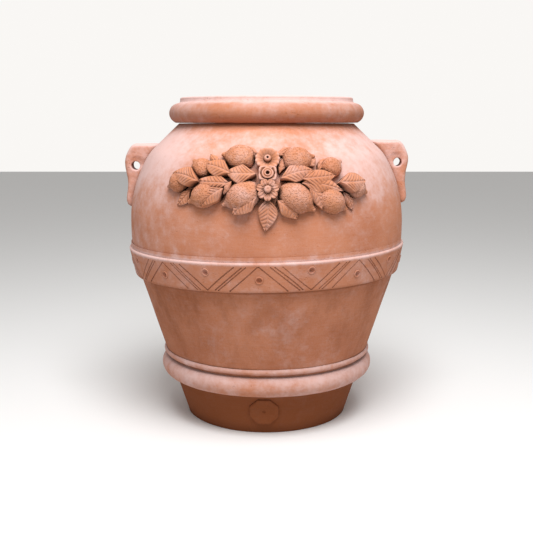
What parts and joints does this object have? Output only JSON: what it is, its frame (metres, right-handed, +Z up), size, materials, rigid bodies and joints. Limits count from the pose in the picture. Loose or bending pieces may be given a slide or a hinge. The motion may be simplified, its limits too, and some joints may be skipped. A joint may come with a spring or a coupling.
{
  "type": "terracotta jar planter",
  "caption": "Large round-shouldered terracotta jar with a rolled rim, raised incised belt, pierced ear handles and a garland of lemons, leaves and flowers on its front.",
  "frame": {"origin": "middle of the base, on the plane that the jar stands on", "axes": "+Z up along the jar's axis, the garland faces -Y, the handles lie on -X and +X"},
  "size_m": [0.713, 0.7087, 0.8],
  "materials": {
    "terracotta_warm": "matte",
    "terracotta_pale": "matte",
    "terracotta_relief": "matte"
  },
  "bodies": {
    "root": {"belt": "terracotta_warm", "cup_flower_eye": "terracotta_relief", "cup_flower_petals": "terracotta_relief", "daisy_eye": "terracotta_relief", "daisy_petals": "terracotta_relief", "floor_slab": "terracotta_warm", "foot_bead": "terracotta_warm", "foot_roll": "terracotta_warm", "foot_section": "terracotta_warm", "handle_left": "terracotta_pale", "handle_right": "terracotta_pale", "leaf_between_left": "terracotta_relief", "leaf_bottom_left": "terracotta_relief", "leaf_bottom_middle": "terracotta_relief", "leaf_bottom_right": "terracotta_relief", "leaf_far_left": "terracotta_relief", "leaf_far_left_low": "terracotta_relief", "leaf_far_right": "terracotta_relief", "leaf_far_right_low": "terracotta_relief", "leaf_flower_right": "terracotta_relief", "leaf_left_inner": "terracotta_relief", "leaf_left_middle": "terracotta_relief", "leaf_left_upper": "terracotta_relief", "leaf_lower_left": "terracotta_relief", "leaf_lower_right": "terracotta_relief", "leaf_right_inner": "terracotta_relief", "leaf_right_middle": "terracotta_relief", "leaf_right_upper": "terracotta_relief", "leaf_tip_left": "terracotta_relief", "leaf_top_left_back": "terracotta_relief", "leaf_top_right_back": "terracotta_relief", "leaf_upper_left_back": "terracotta_relief", "leaf_upper_right_back": "terracotta_relief", "leaf_upper_right_inner": "terracotta_relief", "lemon_bottom_left": "terracotta_relief", "lemon_bottom_right": "terracotta_relief", "lemon_far_left": "terracotta_relief", "lemon_far_right": "terracotta_relief", "lemon_lower_left": "terracotta_relief", "lemon_lower_right": "terracotta_relief", "lemon_top_left": "terracotta_relief", "lemon_top_right": "terracotta_relief", "lemon_upper_left": "terracotta_relief", "lemon_upper_right": "terracotta_relief", "lower_belly": "terracotta_warm", "rim": "terracotta_pale", "rosette_heart": "terracotta_relief", "rosette_petals": "terracotta_relief", "shoulder_section": "terracotta_pale", "tap_boss": "terracotta_warm"}
  },
  "joints": []
}
